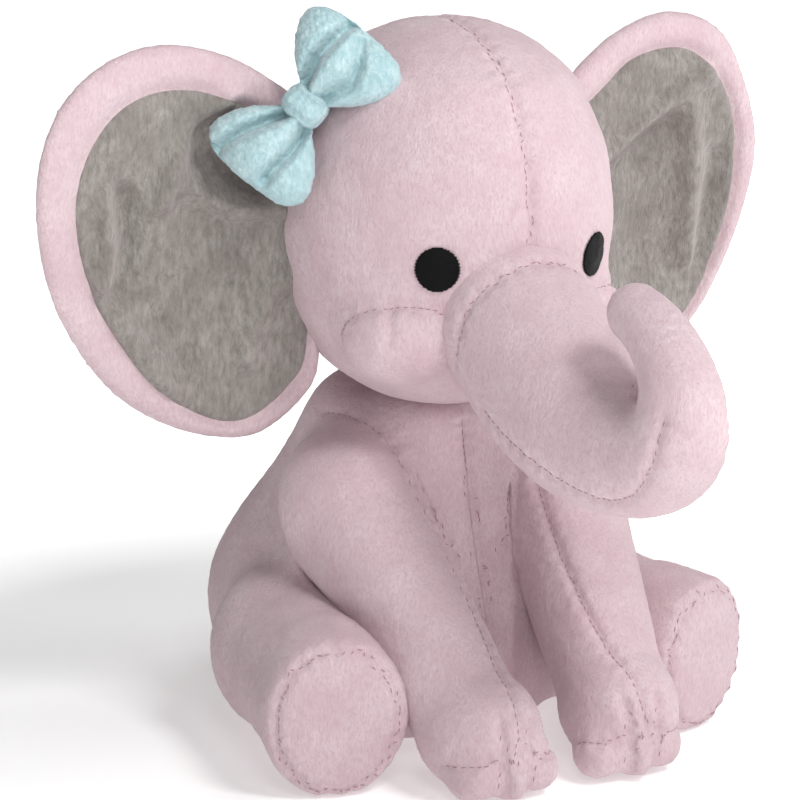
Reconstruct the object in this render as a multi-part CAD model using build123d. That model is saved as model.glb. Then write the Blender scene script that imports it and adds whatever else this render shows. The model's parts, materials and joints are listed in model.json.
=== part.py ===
"""A sitting plush elephant with a hair bow: sewn skins over separate stuffed forms.

Millimetres. Z is up, the elephant faces -Y and its own left is +X. The origin is the
middle of the flat seat. The torso, head, trunk, ears, legs, tail and bow are separate
stuffed bodies, joined at seams that flex, so each is cut clear of its neighbours over
its whole travel.
"""

from build123d import *
import math
import os

os.makedirs("parts", exist_ok=True)

# Driving dimensions
SKIN = 2.0  # plush fabric, pile included
GAP = 0.3  # between a skin and the stuffing behind it
PLAY = 0.6  # between two bodies that move
THREAD = 1.0  # raised embroidery
LAID = 0.1  # between embroidery and the skin it lies on
SIDES = {"left": 1, "right": -1}

TORSO_MIDDLE = (0, 1, 42)
TORSO_LEAN = 11
TORSO_RADIUS = 67
HEAD_MIDDLE = (0, -32, 181)
HEAD_RADIUS = 58
NECK = (0, -29, 112)
NECK_RADIUS = 20
NOD = (-8, 0, 10)

TRUNK_ROOT = (0, -78, 151)
TRUNK_ROOT_RADIUS = 27
TRUNK_LIFT = (-10, 0, 10)
TRUNK_BEND = (0, -163, 121)
TRUNK_BEND_RADIUS = 16.5

EAR_HINGE = 57.5
EAR_MIDDLE = (0, -19, 175)
EAR_TILT = 8
EAR_THICK = 12
EAR_RIM = 9
EAR_LEAF_MIDDLE, EAR_HALF_WIDTH = 90, 52
EAR_SWING = {"left": (-25, -12, 0, 15, 30), "right": (-25, -12, 0, 8)}

SHOULDER = (43, -38, 85)
FRONT_FOOT = (27, -104, 20.5)
FRONT_LEG_RADII = (20.5, 19.5, 16.5)
FRONT_FOOT_RADII = (19.5, 23)
FRONT_LIFT = (0, 8, 16, 24, 32)
TOE_HEIGHT = 11
TOE_RADIUS = 8

HIP = (50, -22, 32)
HIND_SOLE = (70, -87, 27)
HIP_RADIUS = 31
HIND_SHANK_RADII = (28.5, 23)
HIND_FOOT_RADII = (21, 26)
HIND_SPLAY = (0, 6, 12, 18, 25)

BOW_MIDDLE = (-57.5, -43, 220.5)
BOW_FACE = (-0.6, -0.78, 0.18)
BOW_ALONG = (0.63, -0.18, 0.75)
BOW_LENGTH, BOW_WIDTH, BOW_THICK = 54, 36, 10
BOW_SWIVEL = (-10, 0, 10)
PINCH = (13, 8)
KNOT = (13, 18, 13)

EYE_PLACE = (30.5, 170)
EYE_RADIUS = 7.5
TAIL_ROOT = (0, 72.5, 38)
TAIL_RADII = (4.5, 4, 3)
TAIL_LENGTH = 26
LABEL = (16, 18, 0.8)
LABEL_PLACE = (-150, 67.4, 24)

BIG = 1000


def keep(name, shape):
    """Writes one sub-part; its node is called by its file's name."""
    export_step(Compound(shape.solids()), f"parts/{name}.step")


def whole(shape):
    """The main piece of a shape that its cutters left crumbs of."""
    return max(shape.solids(), key=lambda solid: solid.volume)


def beyond(point, direction):
    """A block that fills everything ahead of a plane."""
    plane = Plane(origin=point, z_dir=direction)
    return plane * Box(BIG, BIG, BIG, align=(Align.CENTER, Align.CENTER, Align.MIN))


def ball(middle, radius):
    return Pos(*middle) * Sphere(radius)


def between(start, end):
    """The unit direction from one point to another."""
    return (Vector(*end) - Vector(*start)).normalized()


def turned(outline):
    """A solid of revolution about Z, from (radius, height) points, top to bottom."""
    points = [(radius, 0, height) for radius, height in outline]
    curve = Spline(*points, tangents=((1, 0, 0), (-1, 0, 0)))
    return revolve(make_face(curve + Line(points[-1], points[0])), Axis.Z)


def shell(form):
    """The fabric skin of a form that is drawn at any inset."""
    return form(0) - form(SKIN)


def stuffing(form):
    return form(SKIN + GAP)


def mirrored(point, side):
    return (point[0] * side, point[1], point[2])


def swung(shape, point, direction, angle):
    """A shape turned about an axis through a point."""
    return shape.rotate(Axis(point, direction), angle)


# ---- torso: an upright egg that leans forward, cut flat where it sits


def torso_form(inset):
    size = (TORSO_RADIUS - inset) / TORSO_RADIUS
    outline = [(0, 70), (20, 69), (36, 63), (49, 48), (59, 26), (66, 4), (67, -8), (62, -26), (46, -44), (0, -54)]
    egg = turned([(radius * size, height * size) for radius, height in outline])
    egg = Pos(*TORSO_MIDDLE) * Rot(TORSO_LEAN, 0, 0) * egg
    return egg & beyond((0, 0, inset), (0, 0, 1))


# ---- head: an egg with its blunt end up


def head_form(inset):
    size = (HEAD_RADIUS - inset) / HEAD_RADIUS
    outline = [(0, 66), (25, 61), (44, 46), (55, 22), (58, -3), (54, -30), (42, -50), (24, -62), (0, -66)]
    return Pos(*HEAD_MIDDLE) * turned([(radius * size, height * size) for radius, height in outline])


# ---- trunk: a tapering tube that curls up at its tip, in two lengths that meet in a ball


def tube(stations):
    """A tube through round stations given as (y, z, radius), with its ends square."""
    points = [Vector(0, y, z) for y, z, _ in stations]
    rings = []
    for index, (_, _, radius) in enumerate(stations):
        ahead = points[min(index + 1, len(points) - 1)] - points[max(index - 1, 0)]
        rings.append(Plane(origin=points[index], z_dir=ahead, x_dir=(1, 0, 0)) * Circle(radius))
    return loft(rings)


def trunk_form(inset):
    stations = [(-82, 148.5, 26.5), (-108, 132, 26), (-137, 122.5, 21), (-157, 120.5, 17.5)]
    root = ball(TRUNK_ROOT, TRUNK_ROOT_RADIUS - inset)
    return root + tube([(y, z, radius - inset) for y, z, radius in stations])


def trunk_tip_form(inset):
    stations = [(-165, 123, 14.5), (-170.5, 134, 14), (-169, 148, 12), (-159, 160, 10.5), (-149, 165, 9.8)]
    bend = ball(TRUNK_BEND, TRUNK_BEND_RADIUS - inset)
    tip = ball((0, -149, 165), 9.8 - inset)
    return bend + tube([(y, z, radius - inset) for y, z, radius in stations]) + tip


# ---- ears: flat padded leaves with one edge hollowed to follow the head


def ear_plane(side):
    """X runs outward from the middle of the head, Y up the ear, Z out of its lined face."""
    tilt = math.radians(EAR_TILT)
    face = (0, -math.cos(tilt), -math.sin(tilt))
    return Plane(origin=EAR_MIDDLE, x_dir=(1, 0, 0), z_dir=face)


def ear_outline(inset, side):
    """The ear's leaf, wide at the top and narrow at the lobe, drawn in toward its middle."""
    rim = [(50, 46), (76, 61), (107, 66), (134, 47), (140, 14), (124, -31), (91, -64), (62, -68), (40, -46)]
    size = 1 - inset / EAR_HALF_WIDTH
    points = [((EAR_LEAF_MIDDLE + (x - EAR_LEAF_MIDDLE) * size) * side, y * size) for x, y in rim]
    return make_face(Spline(*points, periodic=True))


def ear_form(inset, side):
    thick = EAR_THICK - 2 * inset
    leaf = extrude(ear_outline(inset, side), thick / 2, both=True)
    leaf = fillet(leaf.edges().filter_by(GeomType.BSPLINE), thick * 0.4)
    return ear_plane(side) * leaf


def ear_hinge(side):
    """The seam that the ear flaps about, as a point and a direction up the ear."""
    tilt = math.radians(EAR_TILT)
    point = (EAR_HINGE * side, EAR_MIDDLE[1], EAR_MIDDLE[2])
    return point, (0, -math.sin(tilt), math.cos(tilt))


def ear_room(side):
    """Everything that the head can fill, seen from the ear, as the ear flaps."""
    point, direction = ear_hinge(side)
    forward = side
    head = head_form(-PLAY)
    swing = EAR_SWING[side_name(side)]
    room = [swung(head, point, direction, forward * angle) for angle in swing]
    if side < 0:
        room += [swung(bow_sweep(), point, direction, forward * angle) for angle in swing if angle >= 0]
    return room


def side_name(side):
    return "left" if side > 0 else "right"


# ---- bow: two pinched loops and the band that gathers them


def bow_plane():
    """X runs along the bow and Z out of its front."""
    return Plane(origin=BOW_MIDDLE, x_dir=BOW_ALONG, z_dir=BOW_FACE)


def bow_loop(way):
    start = Plane(origin=(way * (KNOT[0] / 2 + LAID), 0, 0), x_dir=(0, 1, 0), z_dir=(1, 0, 0))
    end = Plane(origin=(way * BOW_LENGTH / 2, 0, 0), x_dir=(0, 1, 0), z_dir=(1, 0, 0))
    return bow_plane() * loft([start * RectangleRounded(*PINCH, 2), end * RectangleRounded(BOW_WIDTH, BOW_THICK, 3)])


def bow_sweep():
    """A block that holds the loops over their whole swivel."""
    turn = math.radians(BOW_SWIVEL[-1])
    along = BOW_LENGTH * math.cos(turn) + BOW_WIDTH * math.sin(turn) + 2 * PLAY
    across = BOW_WIDTH * math.cos(turn) + BOW_LENGTH * math.sin(turn) + 2 * PLAY
    return bow_plane() * Box(along, across, BOW_THICK + 2 * PLAY)


# ---- legs: round stuffed limbs that start in a ball at the shoulder or hip


def limb(root, heading, root_radius, radii, length, inset):
    """A ball and a tapering shank, along a heading."""
    plane = Plane(origin=root, z_dir=heading)
    shank = plane * Cone(radii[0] - inset, radii[1] - inset, length, align=(Align.CENTER, Align.CENTER, Align.MIN))
    return ball(root, root_radius - inset) + shank


def front_shank(inset, side):
    root, foot = mirrored(SHOULDER, side), mirrored(FRONT_FOOT, side)
    length = (Vector(*foot) - Vector(*root)).length
    return limb(root, between(root, foot), FRONT_LEG_RADII[0], FRONT_LEG_RADII[1:], length, inset)


def front_foot_plane(side):
    """X runs across the foot and Y along it, toward its toes."""
    root, foot = mirrored(SHOULDER, side), mirrored(FRONT_FOOT, side)
    toward = (Vector(*foot) - Vector(*root)).normalized()
    level = Vector(toward.X, toward.Y, 0).normalized()
    return Plane(origin=foot, x_dir=level.cross(Vector(0, 0, 1)), z_dir=(0, 0, 1))


def front_foot(inset, side):
    """A foot that is longer than it is wide, with three toes and a flat sole."""
    across, along = (radius - inset for radius in FRONT_FOOT_RADII)
    half = Ellipse(along, across) & Rectangle(BIG, BIG, align=(Align.CENTER, Align.MIN))
    foot = Rot(0, 0, 90) * revolve(half, Axis.X)
    for place in (-12, 0, 12):
        forward = FRONT_FOOT_RADII[1] - 7 - abs(place) / 3
        foot += Pos(place, forward, TOE_RADIUS + 1 - FRONT_FOOT[2]) * Sphere(TOE_RADIUS - inset)
    return front_foot_plane(side) * foot


def front_leg_form(inset, side):
    leg = front_shank(inset, side) + front_foot(inset, side)
    return leg & beyond((0, 0, 1 + inset), (0, 0, 1))


def hind_shank(inset, side):
    root, sole = mirrored(HIP, side), mirrored(HIND_SOLE, side)
    length = (Vector(*sole) - Vector(*root)).length - 10
    return limb(root, between(root, sole), HIP_RADIUS, HIND_SHANK_RADII, length, inset)


def hind_foot(inset, side):
    """An oval block with a flat sole and rounded edges."""
    root, sole = mirrored(HIP, side), mirrored(HIND_SOLE, side)
    heading = between(root, sole)
    plane = Plane(origin=sole, x_dir=Vector(0, 0, 1), z_dir=heading)
    wide, tall = (radius - inset for radius in HIND_FOOT_RADII)
    block = Pos(0, 0, -inset) * extrude(Ellipse(tall, wide), -(30 - 2 * inset))
    return plane * fillet(block.edges(), 7 - inset)


def hind_leg_form(inset, side):
    """A hind leg, dented where it presses on the front leg beside it."""
    leg = hind_shank(inset, side) + hind_foot(inset, side)
    beside = front_leg_form(-PLAY - inset, side)
    dents = [swung(beside, mirrored(HIP, side), (0, 0, side), -angle) for angle in HIND_SPLAY[:3]]
    return (leg & beyond((0, 0, 1 + inset), (0, 0, 1))) - dents


def leg_room(shape, root, axis, angles):
    """A leg's own space in the torso, over its travel."""
    return [swung(shape, root, axis, angle) for angle in angles]


# ---- cutters: what each body leaves free for the bodies that move in it


def torso_room():
    room = [ball(NECK, NECK_RADIUS + PLAY), ball(TAIL_ROOT, TAIL_RADII[0] + PLAY)]
    room += [swung(head_form(-PLAY), NECK, (-1, 0, 0), angle) for angle in (NOD[0], NOD[-1])]
    for side in SIDES.values():
        shoulder, hip = mirrored(SHOULDER, side), mirrored(HIP, side)
        room += leg_room(front_shank(-PLAY, side), shoulder, (-1, 0, 0), FRONT_LIFT)
        room += leg_room(hind_shank(-PLAY, side), hip, (0, 0, side), HIND_SPLAY)
    return room


def head_room():
    room = [ball(NECK, NECK_RADIUS + PLAY)]
    return room + [swung(trunk_form(-PLAY), TRUNK_ROOT, (-1, 0, 0), angle) for angle in TRUNK_LIFT]


def make_torso():
    room = torso_room()
    skin = shell(torso_form) - room
    keep("body_stuffing", stuffing(torso_form) - room)
    base = skin - beyond((0, 0, 7), (0, 0, 1))
    keep("body_base_panel", base)
    upper = skin & beyond((0, 0, 7), (0, 0, 1))
    for name, side in SIDES.items():
        half = upper & beyond((0, 0, 0), (side, 0, 0))
        keep(f"chest_panel_{name}", half & beyond((0, -14, 0), (0, -1, 0)))
        keep(f"back_panel_{name}", half & beyond((0, -14, 0), (0, 1, 0)))


def make_neck():
    keep("neck_sleeve", ball(NECK, NECK_RADIUS) - ball(NECK, NECK_RADIUS - SKIN))
    keep("neck_stuffing", ball(NECK, NECK_RADIUS - SKIN - GAP))


def eye(side):
    """A round satin-stitched patch that hugs the face."""
    across, height = EYE_PLACE
    ahead = math.sqrt(HEAD_RADIUS**2 - across**2)
    place = (across * side, HEAD_MIDDLE[1] - ahead, height)
    heading = Vector(across * side, -ahead, (height - HEAD_MIDDLE[2]) * 0.5).normalized()
    patch = Plane(origin=place, z_dir=heading) * Cylinder(EYE_RADIUS, 20)
    return (head_form(-THREAD) - head_form(-LAID)) & patch


def make_head():
    room = head_room()
    skin = shell(head_form) - room
    keep("head_stuffing", stuffing(head_form) - room)
    for name, side in SIDES.items():
        half = skin & beyond((0, 0, 0), (side, 0, 0))
        front = half & beyond((0, -19, 0), (0, -1, 0))
        keep(f"head_back_panel_{name}", half & beyond((0, -19, 0), (0, 1, 0)))
        keep(f"brow_panel_{name}", front & beyond((0, 0, 158), (0, 0, 1)))
        keep(f"cheek_panel_{name}", front & beyond((0, 0, 158), (0, 0, -1)))
        keep(f"eye_{name}", eye(side))


def make_trunk():
    room = [ball(TRUNK_BEND, TRUNK_BEND_RADIUS + PLAY), beyond((0, -157, 0), (0, -1, 0))]
    room += [swung(trunk_tip_form(-PLAY), TRUNK_BEND, (-1, 0, 0), angle) for angle in (-12, 0, 12)]
    skin = shell(trunk_form) - room
    middle = beyond((0, -82, 146), (0, -0.25, 1))
    keep("trunk_top_panel", skin & middle)
    keep("trunk_under_panel", skin - middle)
    keep("trunk_stuffing", stuffing(trunk_form) - room)


def make_trunk_tip():
    skin = shell(trunk_tip_form)
    outer = beyond((0, -166, 135), (0, -1, 0.45))
    keep("trunk_tip_outer_panel", skin & outer)
    keep("trunk_tip_inner_panel", skin - outer)
    keep("trunk_tip_stuffing", stuffing(trunk_tip_form))


def make_ear(name, side):
    room = ear_room(side)
    plane = ear_plane(side)
    skin = ear_form(0, side) - ear_form(SKIN, side) - room
    front = skin & (plane * beyond((0, 0, 0), (0, 0, 1)))
    window = plane * extrude(Pos(-5 * side, -2, 0) * ear_outline(EAR_RIM, side), EAR_THICK)
    keep(f"ear_{name}_back_panel", whole(skin - front))
    keep(f"ear_{name}_rim", whole(front - window))
    keep(f"ear_{name}_lining", whole(front & window))
    keep(f"ear_{name}_stuffing", whole(ear_form(SKIN + GAP, side) - room))


def make_bow():
    """The bow, clear of the head as it swivels on the thread that tacks it there."""
    head = head_form(-PLAY)
    room = [swung(head, BOW_MIDDLE, BOW_FACE, angle) for angle in BOW_SWIVEL]
    keep("bow_loop_upper", bow_loop(1) - room)
    keep("bow_loop_lower", bow_loop(-1) - room)
    keep("bow_knot", bow_plane() * fillet(Box(*KNOT).edges(), 4) - room)
    tack = Pos(0, 0, -KNOT[2] / 2 - LAID) * Cylinder(1.5, 2, align=(Align.CENTER, Align.CENTER, Align.MAX))
    keep("bow_tack_thread", bow_plane() * tack - room)


def make_front_leg(name, side):
    def form(inset):
        return front_leg_form(inset, side)

    skin = shell(form)
    sole_line = beyond((0, 0, TOE_HEIGHT), (0, 0, -1))
    root, foot = mirrored(SHOULDER, side), mirrored(FRONT_FOOT, side)
    outer = beyond(root, between(root, foot).cross(Vector(0, 0, 1)) * side * -1)
    keep(f"front_leg_{name}_outer_panel", (skin - sole_line) & outer)
    keep(f"front_leg_{name}_inner_panel", skin - sole_line - outer)
    keep(f"front_leg_{name}_sole", skin & sole_line)
    keep(f"front_leg_{name}_stuffing", stuffing(form))
    plane = front_foot_plane(side)
    slots = [plane * Pos(place, FRONT_FOOT_RADII[1], 6 - FRONT_FOOT[2]) * Box(1.2, 24, 9) for place in (-6, 6)]
    keep(f"front_leg_{name}_toe_stitches", (form(-THREAD) - form(-LAID)) & (slots[0] + slots[1]))


def make_hind_leg(name, side):
    def form(inset):
        return hind_leg_form(inset, side)

    skin = shell(form)
    root, sole = mirrored(HIP, side), mirrored(HIND_SOLE, side)
    heading = between(root, sole)
    sole_line = beyond(Vector(*sole) - heading * 5, heading)
    upper = beyond((0, 0, 28), (0, 0, 1))
    keep(f"hind_leg_{name}_upper_panel", (skin - sole_line) & upper)
    keep(f"hind_leg_{name}_under_panel", skin - sole_line - upper)
    keep(f"hind_leg_{name}_sole", skin & sole_line)
    keep(f"hind_leg_{name}_stuffing", stuffing(form))


def make_tail():
    """A thin sewn tube with a yarn tuft, hanging behind the seat."""
    plane = Plane(origin=TAIL_ROOT, z_dir=(0, 0.3, -1))
    root, top, end = TAIL_RADII
    cone = Cone(top, end, TAIL_LENGTH, align=(Align.CENTER, Align.CENTER, Align.MIN))
    tail = ball(TAIL_ROOT, root) + plane * cone
    tuft = plane * Pos(0, 0, TAIL_LENGTH + LAID) * Cone(end, 6, 9, align=(Align.CENTER, Align.CENTER, Align.MIN))
    keep("tail_tube", tail)
    keep("tail_tuft", tuft)


def make_label():
    """A blank woven care label, its short edge caught in the side seam."""
    angle, radius, height = LABEL_PLACE
    turn = math.radians(angle)
    out = Vector(-math.sin(turn), -math.cos(turn), 0)
    along = Vector(out.Y, -out.X, 0)
    drooped = (out * math.cos(0.6) - Vector(0, 0, 1) * math.sin(0.6)).normalized()
    plane = Plane(origin=out * radius + Vector(0, 0, height), x_dir=along, z_dir=along.cross(drooped))
    keep("care_label", plane * Pos(0, LABEL[1] / 2, 0) * Box(*LABEL))


make_torso()
make_neck()
make_head()
make_trunk()
make_trunk_tip()
make_bow()
make_tail()
make_label()
for side_word, side_sign in SIDES.items():
    make_ear(side_word, side_sign)
    make_front_leg(side_word, side_sign)
    make_hind_leg(side_word, side_sign)
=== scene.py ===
"""A sitting plush elephant with an aqua bow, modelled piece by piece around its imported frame.

Sizes are given in millimetres and turned to metres where they are used. Z is up, the
elephant faces -Y and its own left is +X.
"""

import json
import math

import bmesh
import bpy
import numpy as np
from mathutils import Matrix, Vector, kdtree, noise
from mathutils.bvhtree import BVHTree


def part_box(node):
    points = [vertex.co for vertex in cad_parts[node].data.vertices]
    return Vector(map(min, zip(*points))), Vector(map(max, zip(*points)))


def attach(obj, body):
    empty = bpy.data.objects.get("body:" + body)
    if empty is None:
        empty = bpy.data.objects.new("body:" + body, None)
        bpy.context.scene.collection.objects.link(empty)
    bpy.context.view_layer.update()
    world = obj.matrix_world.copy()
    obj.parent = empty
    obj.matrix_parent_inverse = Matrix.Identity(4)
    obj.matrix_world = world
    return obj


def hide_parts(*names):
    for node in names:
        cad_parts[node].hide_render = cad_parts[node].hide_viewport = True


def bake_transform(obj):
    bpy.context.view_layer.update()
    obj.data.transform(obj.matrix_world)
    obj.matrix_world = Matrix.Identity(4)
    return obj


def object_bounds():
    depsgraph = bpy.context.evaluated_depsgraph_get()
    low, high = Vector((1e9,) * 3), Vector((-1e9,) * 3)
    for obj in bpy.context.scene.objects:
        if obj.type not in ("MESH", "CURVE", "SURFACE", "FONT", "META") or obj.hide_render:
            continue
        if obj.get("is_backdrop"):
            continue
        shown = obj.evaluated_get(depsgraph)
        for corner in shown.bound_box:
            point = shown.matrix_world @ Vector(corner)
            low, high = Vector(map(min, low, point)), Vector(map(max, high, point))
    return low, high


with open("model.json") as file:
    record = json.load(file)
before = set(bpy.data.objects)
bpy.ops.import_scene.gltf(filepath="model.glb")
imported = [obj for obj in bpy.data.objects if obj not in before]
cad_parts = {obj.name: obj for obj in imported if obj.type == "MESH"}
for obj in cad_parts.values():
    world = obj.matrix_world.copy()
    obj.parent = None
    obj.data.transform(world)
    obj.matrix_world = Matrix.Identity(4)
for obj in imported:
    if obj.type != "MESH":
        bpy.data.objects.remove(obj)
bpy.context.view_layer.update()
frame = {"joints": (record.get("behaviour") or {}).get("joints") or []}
pivot = {joint["name"]: Vector(joint["pos_m"]) for joint in frame["joints"]}
MM = 0.001
SIDES = {"left": 1, "right": -1}

# ---------------------------------------------------------------------------
# Body: one stuffed egg of pink short-pile plush that leans forward, with the hind
# legs cut in one with its sides. It is two mirrored skins sewn down the middle of
# the chest and back, turned right side out and filled, so the cloth crowns between
# its seams and dips at them.
# ---------------------------------------------------------------------------


def mm(*values):
    return Vector(values) * MM


def only(obj):
    """Selects one object alone, so that an operator acts on nothing else."""
    bpy.ops.object.select_all(action="DESELECT")
    obj.select_set(True)
    bpy.context.view_layer.objects.active = obj
    return obj


def apply_modifiers(obj):
    only(obj)
    for modifier in list(obj.modifiers):
        bpy.ops.object.modifier_apply(modifier=modifier.name)


def modifier(obj, kind, **settings):
    made = obj.modifiers.new(kind.title(), kind)
    for name, value in settings.items():
        setattr(made, name, value)
    return made


def ball(middle, radii, turn=(0, 0, 0)):
    """A round lump; radii is one radius or three, all in millimetres."""
    radii = radii if isinstance(radii, tuple) else (radii,) * 3
    bpy.ops.mesh.primitive_uv_sphere_add(
        segments=48, ring_count=32, radius=1, location=mm(*middle), scale=mm(*radii), rotation=turn
    )
    return bpy.context.object


def shank(start, end, start_radius, end_radius):
    """A tapering round length between two points."""
    start, end = mm(*start), mm(*end)
    along = end - start
    bpy.ops.mesh.primitive_cone_add(
        vertices=48, radius1=start_radius * MM, radius2=end_radius * MM, depth=along.length,
        location=(start + end) / 2, rotation=along.to_track_quat("Z", "Y").to_euler(),
    )
    return bpy.context.object


def egg(middle, outline, lean=0):
    """A ball drawn out to half an outline, given as (height, radius) from bottom to top."""
    bpy.ops.mesh.primitive_uv_sphere_add(segments=64, ring_count=48, radius=1, location=(0, 0, 0))
    obj = bpy.context.object
    heights, radii = zip(*outline)
    for vertex in obj.data.vertices:
        around = Vector((vertex.co.x, vertex.co.y, 0))
        height = heights[0] + (vertex.co.z + 1) / 2 * (heights[-1] - heights[0])
        radius = np.interp(height, heights, radii)
        out = around.normalized() * radius if around.length > 1e-6 else Vector()
        vertex.co = (out + Vector((0, 0, height))) * MM
    obj.rotation_euler.x = math.radians(lean)
    obj.location = mm(*middle)
    return obj


def melted(name, parts, voxel=4.0, smoothing=12):
    """Joins lumps into one closed skin whose inner corners are softened."""
    bpy.ops.object.select_all(action="DESELECT")
    for part in parts:
        part.select_set(True)
    bpy.context.view_layer.objects.active = parts[0]
    if len(parts) > 1:
        bpy.ops.object.join()
    obj = bpy.context.object
    bpy.ops.object.transform_apply(location=True, rotation=True, scale=True)
    obj.name = name
    obj.data.name = name
    modifier(obj, "REMESH", mode="VOXEL", voxel_size=voxel * MM)
    modifier(obj, "SMOOTH", factor=0.5, iterations=smoothing)
    apply_modifiers(obj)
    return obj


def inflate(obj, held, cap, pressure=4.0):
    """Fills a sewn skin: held seam points stay, and the cloth between them swells, by cap at most."""
    rest = [vertex.co.copy() for vertex in obj.data.vertices]
    group = obj.vertex_groups.new(name="sewn")
    group.add([i for i, place in enumerate(rest) if held(place / MM)], 1.0, "REPLACE")
    cloth = modifier(obj, "CLOTH")
    cloth.settings.quality = 6
    cloth.settings.use_pressure = True
    cloth.settings.uniform_pressure_force = pressure
    cloth.settings.effector_weights.gravity = 0
    cloth.settings.vertex_group_mass = "sewn"
    cloth.point_cache.frame_end = 20
    for step in range(1, 21):
        bpy.context.scene.frame_set(step)
    apply_modifiers(obj)
    bpy.context.scene.frame_set(1)
    for vertex, start in zip(obj.data.vertices, rest):
        moved = vertex.co - start
        if moved.length > cap * MM:
            vertex.co = start + moved.normalized() * cap * MM
    obj.vertex_groups.clear()


def refine(obj, levels):
    modifier(obj, "SUBSURF", levels=levels, render_levels=levels)
    apply_modifiers(obj)


def route(points, step=0.8):
    """A smooth line through given points, in even steps, all in millimetres."""
    points = [Vector(point) for point in points]
    line = []
    for index in range(len(points) - 1):
        before = points[max(index - 1, 0)]
        start, end = points[index], points[index + 1]
        after = points[min(index + 2, len(points) - 1)]
        count = max(2, int((end - start).length / step))
        for k in range(count):
            t = k / count
            line.append(0.5 * (2 * start + (end - before) * t + (2 * before - 5 * start + 4 * end - after) * t**2
                               + (3 * start - before - 3 * end + after) * t**3))
    return line + [points[-1]]


def surface(obj):
    mesh = obj.data
    return BVHTree.FromPolygons([v.co for v in mesh.vertices], [p.vertices[:] for p in mesh.polygons])


def draw_in(obj, lines, deep, wide, pucker=0.0, every=6.0):
    """Draws the cloth in along lines: a groove, with small gathers across it where it is sewn."""
    mesh = obj.data
    count = len(mesh.vertices)
    tree = kdtree.KDTree(count)
    for index, vertex in enumerate(mesh.vertices):
        tree.insert(vertex.co, index)
    tree.balance()
    skin = surface(obj)
    nearest = np.full(count, 1e9)
    gather = np.zeros(count)
    for line in lines:
        for step, point in enumerate(line):
            place = skin.find_nearest(point * MM)[0]
            wave = math.sin(2 * math.pi * step * 0.8 / every + 0.7 * math.sin(step * 0.11))
            for _, index, distance in tree.find_range(place, 3 * wide * MM):
                if distance < nearest[index]:
                    nearest[index] = distance
                    gather[index] = wave
    near = nearest / (wide * MM)
    dip = deep * MM * np.exp(-(near**2))
    ripple = pucker * MM * gather * np.exp(-((near - 1.2) ** 2) * 1.2)
    normals = [vertex.normal.copy() for vertex in mesh.vertices]
    for index in np.nonzero(near < 3)[0]:
        mesh.vertices[index].co -= normals[index] * float(dip[index] - ripple[index])
    mesh.update()


def stitches(name, skin_obj, lines, body, every=2.3, long=1.7, thick=0.42, sink=0.14):
    """One short thread for each stitch along the lines, half sunk in the pile."""
    skin = surface(skin_obj)
    bpy.ops.mesh.primitive_cylinder_add(vertices=6, radius=thick / 2 * MM, depth=long * MM, end_fill_type="TRIFAN")
    one = bpy.context.object
    bpy.ops.object.mode_set(mode="EDIT")
    bpy.ops.mesh.select_all(action="SELECT")
    bpy.ops.mesh.subdivide(number_cuts=1)
    bpy.ops.object.mode_set(mode="OBJECT")
    for vertex in one.data.vertices:
        end = abs(vertex.co.z) / (long / 2 * MM)
        vertex.co.x *= 1 - 0.6 * end**3
        vertex.co.y *= 1 - 0.6 * end**3
    shape = [vertex.co.copy() for vertex in one.data.vertices]
    faces = [tuple(face.vertices) for face in one.data.polygons]
    bpy.data.objects.remove(one)
    points, polygons = [], []
    for line in lines:
        travelled = 0.0
        for here, ahead in zip(line[1:-2], line[2:]):
            travelled += (ahead - here).length
            if travelled < every:
                continue
            travelled = 0.0
            place, normal, _, _ = skin.find_nearest(here * MM)
            next_place = skin.find_nearest(ahead * MM)[0]
            along = (next_place - place).normalized()
            across = normal.cross(along).normalized()
            turn = Matrix((across, normal, along)).transposed()
            start = len(points)
            centre = place + normal * (thick / 2 - sink) * MM
            points += [centre + turn @ corner for corner in shape]
            polygons += [tuple(start + index for index in face) for face in faces]
    mesh = bpy.data.meshes.new(name)
    mesh.from_pydata(points, [], polygons)
    obj = bpy.data.objects.new(name, mesh)
    bpy.context.scene.collection.objects.link(obj)
    mesh.materials.append(thread_material)
    if body:
        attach(obj, body)
    return obj


def roughen(obj, size, strength, seed=0.0):
    """Uneven nap: small soft lumps in the surface itself, size and strength in millimetres."""
    offset = Vector((seed, seed * 1.7, seed * 0.3))
    normals = [vertex.normal.copy() for vertex in obj.data.vertices]
    for vertex, normal in zip(obj.data.vertices, normals):
        vertex.co += normal * noise.noise(vertex.co / (size * MM) + offset) * strength * MM
    obj.data.update()


def smooth_faces(obj):
    for face in obj.data.polygons:
        face.use_smooth = True
    obj.data.update()


def linear(code, alpha=1.0):
    """An sRGB hex colour as the linear numbers that shaders take."""
    values = [int(code[i:i + 2], 16) / 255 for i in (1, 3, 5)]
    return tuple(v / 12.92 if v <= 0.04045 else ((v + 0.055) / 1.055) ** 2.4 for v in values) + (alpha,)


def add(tree, kind, settings=None, links=None):
    """Adds one shader node with its settings and its links."""
    made = tree.nodes.new("ShaderNode" + kind)
    for name, value in (settings or {}).items():
        if isinstance(name, str) and hasattr(made, name):
            setattr(made, name, value)
        else:
            made.inputs[name].default_value = value
    for name, source in (links or {}).items():
        tree.links.new(source, made.inputs[name])
    return made


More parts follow.
